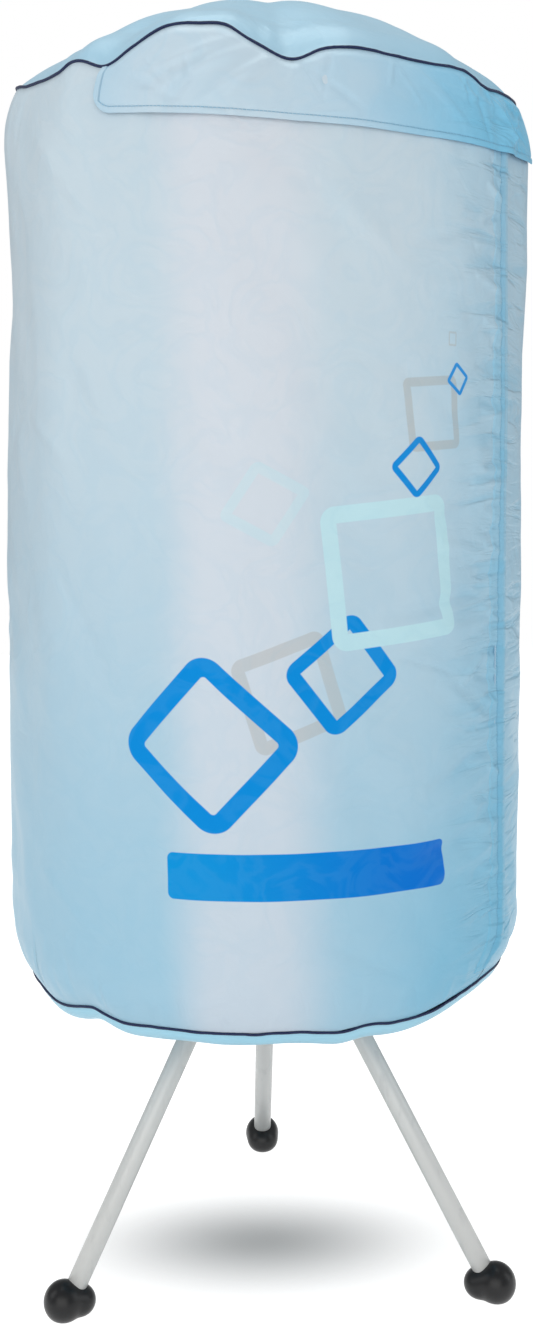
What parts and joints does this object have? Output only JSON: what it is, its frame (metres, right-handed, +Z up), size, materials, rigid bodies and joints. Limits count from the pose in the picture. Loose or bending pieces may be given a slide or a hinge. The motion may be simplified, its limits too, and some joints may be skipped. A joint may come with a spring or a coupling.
{
  "type": "portable clothes dryer",
  "caption": "Portable clothes dryer: a round zipped fabric cover over twelve hinged hanging arms on a pole, with a fan heater base on three folding legs.",
  "frame": {"origin": "on the floor, under the pole's axis", "axes": "+Z up along the pole, -Y towards the front where the door panel is, +X to the zip's side"},
  "size_m": [0.582, 0.594, 1.432],
  "materials": {
    "satin_cloth": "satin",
    "navy_piping": "matte",
    "hem_elastic": "matte",
    "zip_tape": "matte",
    "zip_slider": "satin",
    "painted_steel_tube": "satin",
    "plated_steel": "satin",
    "heater_fins": "satin",
    "black_rubber": "matte",
    "dark_plastic": "matte",
    "white_plastic": "satin",
    "arm_plastic": "satin"
  },
  "bodies": {
    "stand": {"tripod_hub": "dark_plastic", "heater_base": "white_plastic", "heater_top": "white_plastic", "motor_mount": "plated_steel", "fan_motor": "plated_steel", "air_duct": "dark_plastic", "heater_tray": "plated_steel", "heating_element": "heater_fins", "thermal_cutout": "dark_plastic", "control_panel": "dark_plastic", "timer_unit": "dark_plastic", "power_switch": "dark_plastic", "cord_gland": "dark_plastic", "pole_lower": "painted_steel_tube", "pole_upper": "painted_steel_tube", "pole_ferrule": "dark_plastic", "hanger_head": "dark_plastic", "hinge_wire": "plated_steel", "head_cap": "dark_plastic", "cover_top_panel": "satin_cloth", "cover_side_wall": "satin_cloth", "cover_bottom_panel": "satin_cloth", "piping_top": "navy_piping", "piping_bottom": "navy_piping", "hem_elastic": "hem_elastic", "zip_tape_wall": "zip_tape", "leg_pin_front_right": "plated_steel", "leg_pin_front_left": "plated_steel", "leg_pin_rear": "plated_steel"},
    "leg_front_right": {"leg_knuckle_front_right": "dark_plastic", "leg_tube_front_right": "painted_steel_tube", "leg_boot_front_right": "black_rubber"},
    "leg_front_left": {"leg_knuckle_front_left": "dark_plastic", "leg_tube_front_left": "painted_steel_tube", "leg_boot_front_left": "black_rubber"},
    "leg_rear": {"leg_knuckle_rear": "dark_plastic", "leg_tube_rear": "painted_steel_tube", "leg_boot_rear": "black_rubber"},
    "arm_01": {"hanging_arm_01": "arm_plastic"},
    "arm_02": {"hanging_arm_02": "arm_plastic"},
    "arm_03": {"hanging_arm_03": "arm_plastic"},
    "arm_04": {"hanging_arm_04": "arm_plastic"},
    "arm_05": {"hanging_arm_05": "arm_plastic"},
    "arm_06": {"hanging_arm_06": "arm_plastic"},
    "arm_07": {"hanging_arm_07": "arm_plastic"},
    "arm_08": {"hanging_arm_08": "arm_plastic"},
    "arm_09": {"hanging_arm_09": "arm_plastic"},
    "arm_10": {"hanging_arm_10": "arm_plastic"},
    "arm_11": {"hanging_arm_11": "arm_plastic"},
    "arm_12": {"hanging_arm_12": "arm_plastic"},
    "fan": {"fan_impeller": "white_plastic", "fan_cap": "dark_plastic"},
    "knob": {"timer_knob": "white_plastic"},
    "button": {"power_button": "white_plastic"},
    "door": {"door_panel": "satin_cloth", "storm_flap": "satin_cloth", "zip_tape_door": "zip_tape"},
    "slider": {"zip_slider": "zip_slider"}
  },
  "joints": [
    {"name": "fold_leg_front_right", "type": "hinge", "parent": "stand", "child": "leg_front_right", "pos_m": [0.05708, -0.02896, 0.376], "axis": [0.4524, 0.8918, 0], "range_deg": [0, 30.5]},
    {"name": "fold_leg_front_left", "type": "hinge", "parent": "stand", "child": "leg_front_left", "pos_m": [-0.05361, -0.03495, 0.376], "axis": [0.5461, -0.8377, 0], "range_deg": [0, 30.5]},
    {"name": "fold_leg_rear", "type": "hinge", "parent": "stand", "child": "leg_rear", "pos_m": [-0.00346, 0.06391, 0.376], "axis": [-0.9985, -0.0541, 0], "range_deg": [0, 30.5]},
    {"name": "fold_arm_01", "type": "hinge", "parent": "stand", "child": "arm_01", "pos_m": [0.01367, -0.03971, 1.4192], "axis": [0.9455, 0.3256, 0], "range_deg": [0, 70]},
    {"name": "fold_arm_02", "type": "hinge", "parent": "stand", "child": "arm_02", "pos_m": [0.0317, -0.02755, 1.4192], "axis": [0.6561, 0.7547, 0], "range_deg": [0, 70]},
    {"name": "fold_arm_03", "type": "hinge", "parent": "stand", "child": "arm_03", "pos_m": [0.04123, -0.00801, 1.4192], "axis": [0.1908, 0.9816, 0], "range_deg": [0, 70]},
    {"name": "fold_arm_04", "type": "hinge", "parent": "stand", "child": "arm_04", "pos_m": [0.03971, 0.01367, 1.4192], "axis": [-0.3256, 0.9455, 0], "range_deg": [0, 70]},
    {"name": "fold_arm_05", "type": "hinge", "parent": "stand", "child": "arm_05", "pos_m": [0.02755, 0.0317, 1.4192], "axis": [-0.7547, 0.6561, 0], "range_deg": [0, 70]},
    {"name": "fold_arm_06", "type": "hinge", "parent": "stand", "child": "arm_06", "pos_m": [0.00801, 0.04123, 1.4192], "axis": [-0.9816, 0.1908, 0], "range_deg": [0, 70]},
    {"name": "fold_arm_07", "type": "hinge", "parent": "stand", "child": "arm_07", "pos_m": [-0.01367, 0.03971, 1.4192], "axis": [-0.9455, -0.3256, 0], "range_deg": [0, 70]},
    {"name": "fold_arm_08", "type": "hinge", "parent": "stand", "child": "arm_08", "pos_m": [-0.0317, 0.02755, 1.4192], "axis": [-0.6561, -0.7547, 0], "range_deg": [0, 70]},
    {"name": "fold_arm_09", "type": "hinge", "parent": "stand", "child": "arm_09", "pos_m": [-0.04123, 0.00801, 1.4192], "axis": [-0.1908, -0.9816, 0], "range_deg": [0, 70]},
    {"name": "fold_arm_10", "type": "hinge", "parent": "stand", "child": "arm_10", "pos_m": [-0.03971, -0.01367, 1.4192], "axis": [0.3256, -0.9455, 0], "range_deg": [0, 70]},
    {"name": "fold_arm_11", "type": "hinge", "parent": "stand", "child": "arm_11", "pos_m": [-0.02755, -0.0317, 1.4192], "axis": [0.7547, -0.6561, 0], "range_deg": [0, 70]},
    {"name": "fold_arm_12", "type": "hinge", "parent": "stand", "child": "arm_12", "pos_m": [-0.00801, -0.04123, 1.4192], "axis": [0.9816, -0.1908, 0], "range_deg": [0, 70]},
    {"name": "spin_fan", "type": "hinge", "parent": "stand", "child": "fan", "pos_m": [0, 0, 0.445], "axis": [0, 0, 1], "continuous": true},
    {"name": "turn_timer_knob", "type": "hinge", "parent": "stand", "child": "knob", "pos_m": [-0.024, -0.1633, 0.437], "axis": [0, -1, 0], "range_deg": [0, 300]},
    {"name": "press_power_button", "type": "slide", "parent": "stand", "child": "button", "axis": [0, 1, 0], "range_m": [0, 0.003], "stiffness_N_per_m": 400},
    {"name": "open_door", "type": "hinge", "parent": "stand", "child": "door", "pos_m": [-0.17885, -0.22892, 0.85], "axis": [0, 0, -1], "range_deg": [0, 100]},
    {"name": "draw_zip_slider", "type": "slide", "parent": "door", "child": "slider", "axis": [0, 0, -1], "range_m": [0, 0.81]}
  ]
}
